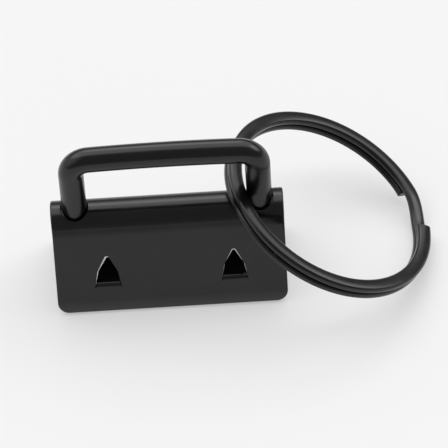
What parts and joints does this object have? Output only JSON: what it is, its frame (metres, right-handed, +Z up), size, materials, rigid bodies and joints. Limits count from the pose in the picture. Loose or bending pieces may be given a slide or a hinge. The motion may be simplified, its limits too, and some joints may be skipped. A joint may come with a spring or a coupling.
{
  "type": "key fob hardware",
  "caption": "Webbing key fob hardware: folded sheet clamp with lanced teeth, wire bail hinged in the clamp's rolled fold, and a split ring threaded on the bail.",
  "frame": {"origin": "on the ground plane, midway between the jaws' edges, at the middle of the clamp's width: the centre of the open webbing mouth", "axes": "+X along the rolled fold towards the split ring, +Y from the front jaw to the back jaw, +Z up from the mouth to the bail"},
  "size_m": [0.0421, 0.0254, 0.0204],
  "materials": {
    "clamp_paint": "gloss black coated steel sheet",
    "bail_paint": "gloss black coated steel wire",
    "ring_paint": "gloss black coated flat steel wire"
  },
  "bodies": {
    "clamp": {"clamp_body": "clamp_paint"},
    "bail": {"bail": "bail_paint"},
    "ring": {"split_ring": "ring_paint"}
  },
  "joints": [
    {"name": "bail_swing", "type": "hinge", "parent": "clamp", "child": "bail", "pos_m": [0, 0, 0.00912], "axis": [1, 0, 0], "range_deg": [-4, 4]},
    {"name": "ring_swing", "type": "hinge", "parent": "bail", "child": "ring", "pos_m": [0.0077, 0, 0.01265], "axis": [0, 1, 0], "range_deg": [-195, 90]}
  ]
}
